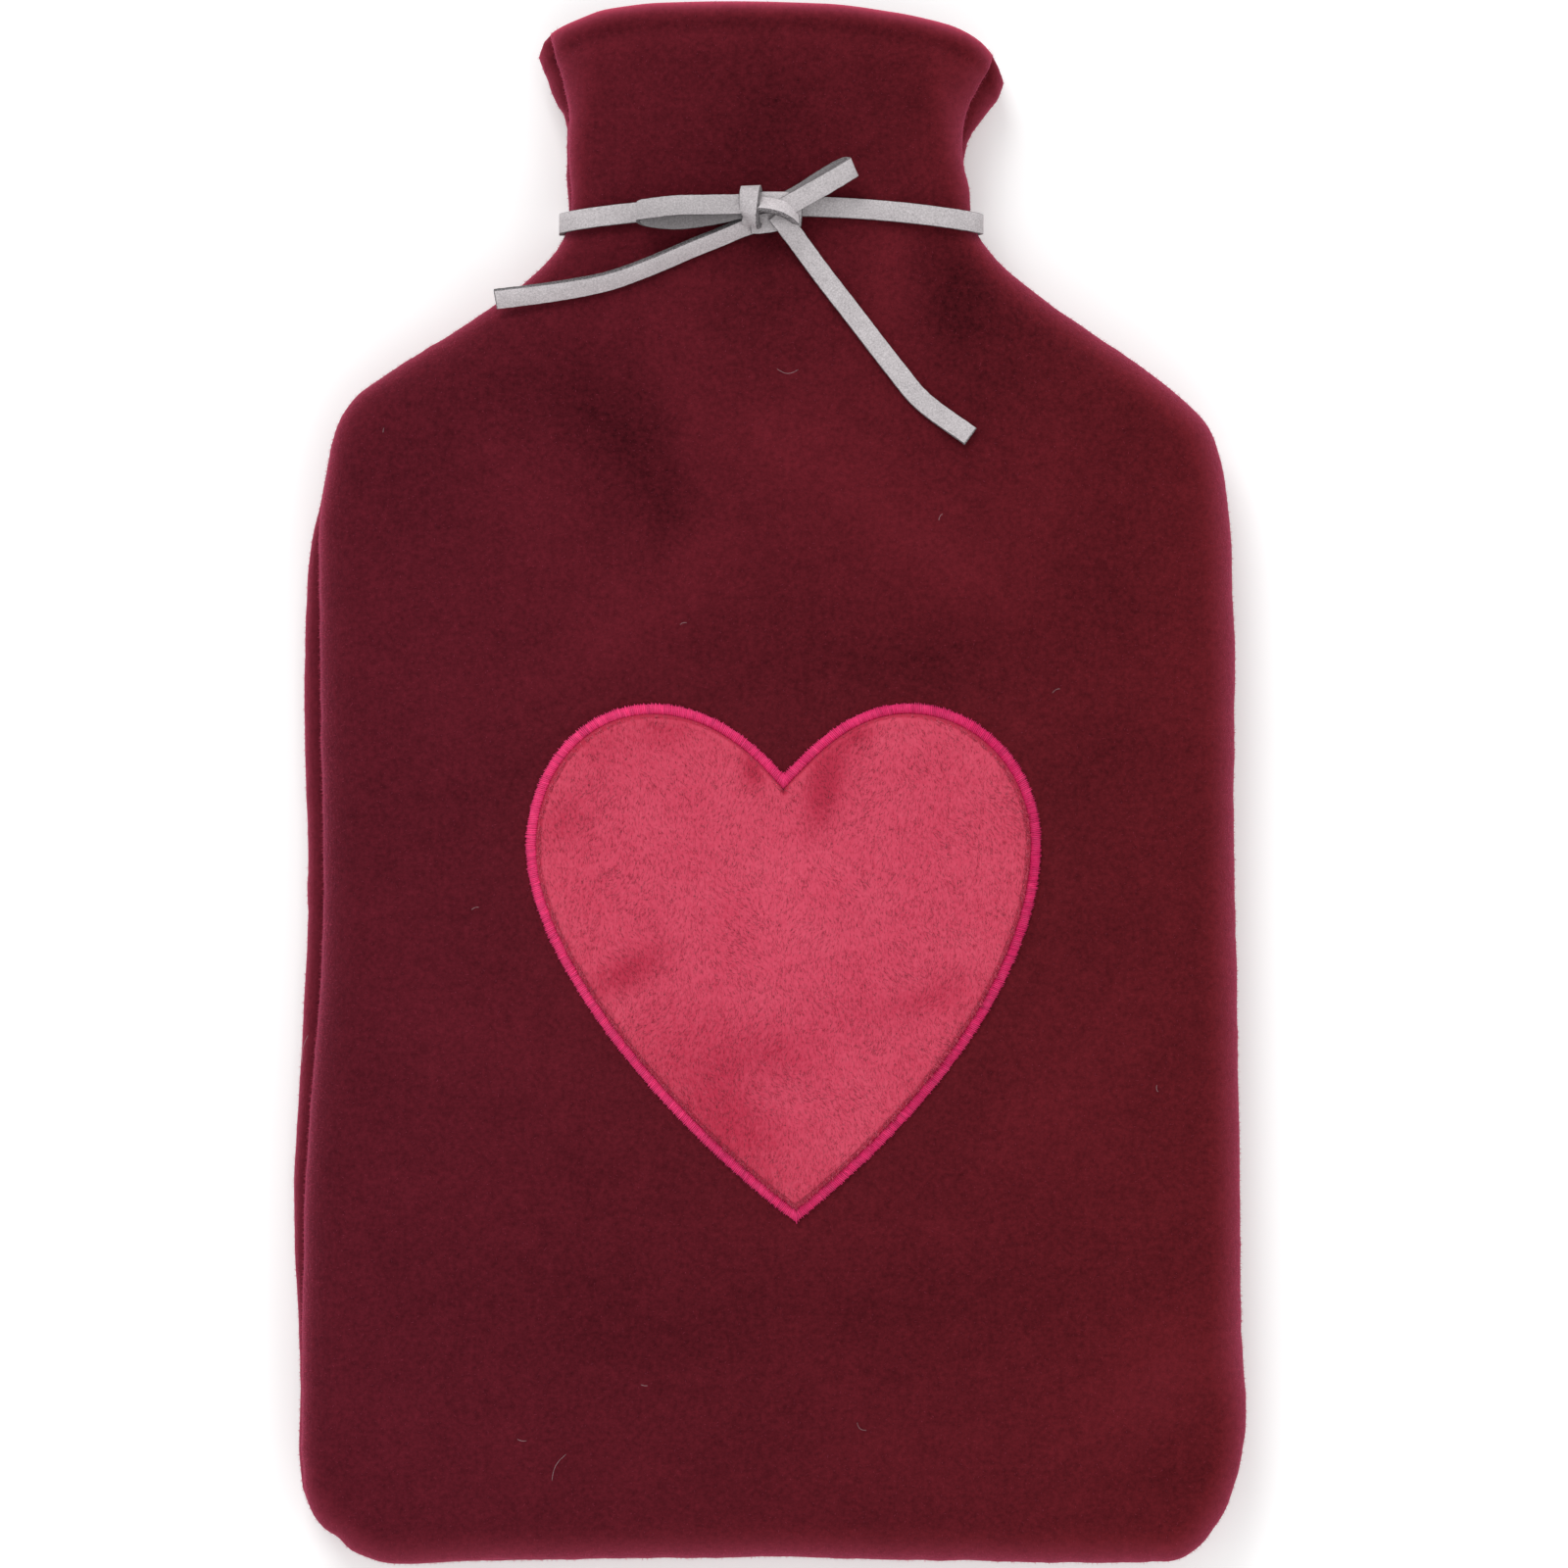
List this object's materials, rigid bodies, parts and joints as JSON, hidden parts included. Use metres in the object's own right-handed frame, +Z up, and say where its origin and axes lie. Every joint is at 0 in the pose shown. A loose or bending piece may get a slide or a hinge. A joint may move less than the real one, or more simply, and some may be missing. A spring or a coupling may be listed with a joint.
{
  "type": "hot water bottle cover",
  "caption": "Sewn fleece hot water bottle cover with rounded shoulders and an open neck, a plush heart on the front and a flat lace tied in a bow round the neck.",
  "frame": {"origin": "on the surface the cover lies on, under the middle of its box", "axes": "+X across the cover to the right seen from above, +Y along it towards the neck, +Z up out of its front face"},
  "size_m": [0.2067, 0.3397, 0.03],
  "materials": {
    "fleece": "brushed matte fleece",
    "plush": "short soft pile",
    "thread": "satin stitch thread",
    "lace": "matte suede"
  },
  "bodies": {
    "root": {"front_panel": "fleece", "back_panel": "fleece", "heart": "plush", "heart_edging": "thread", "tie_band": "lace", "tie_knot": "lace", "bow_loop_left": "lace", "bow_loop_right": "lace", "tie_end_left": "lace", "tie_end_right": "lace"}
  },
  "joints": []
}
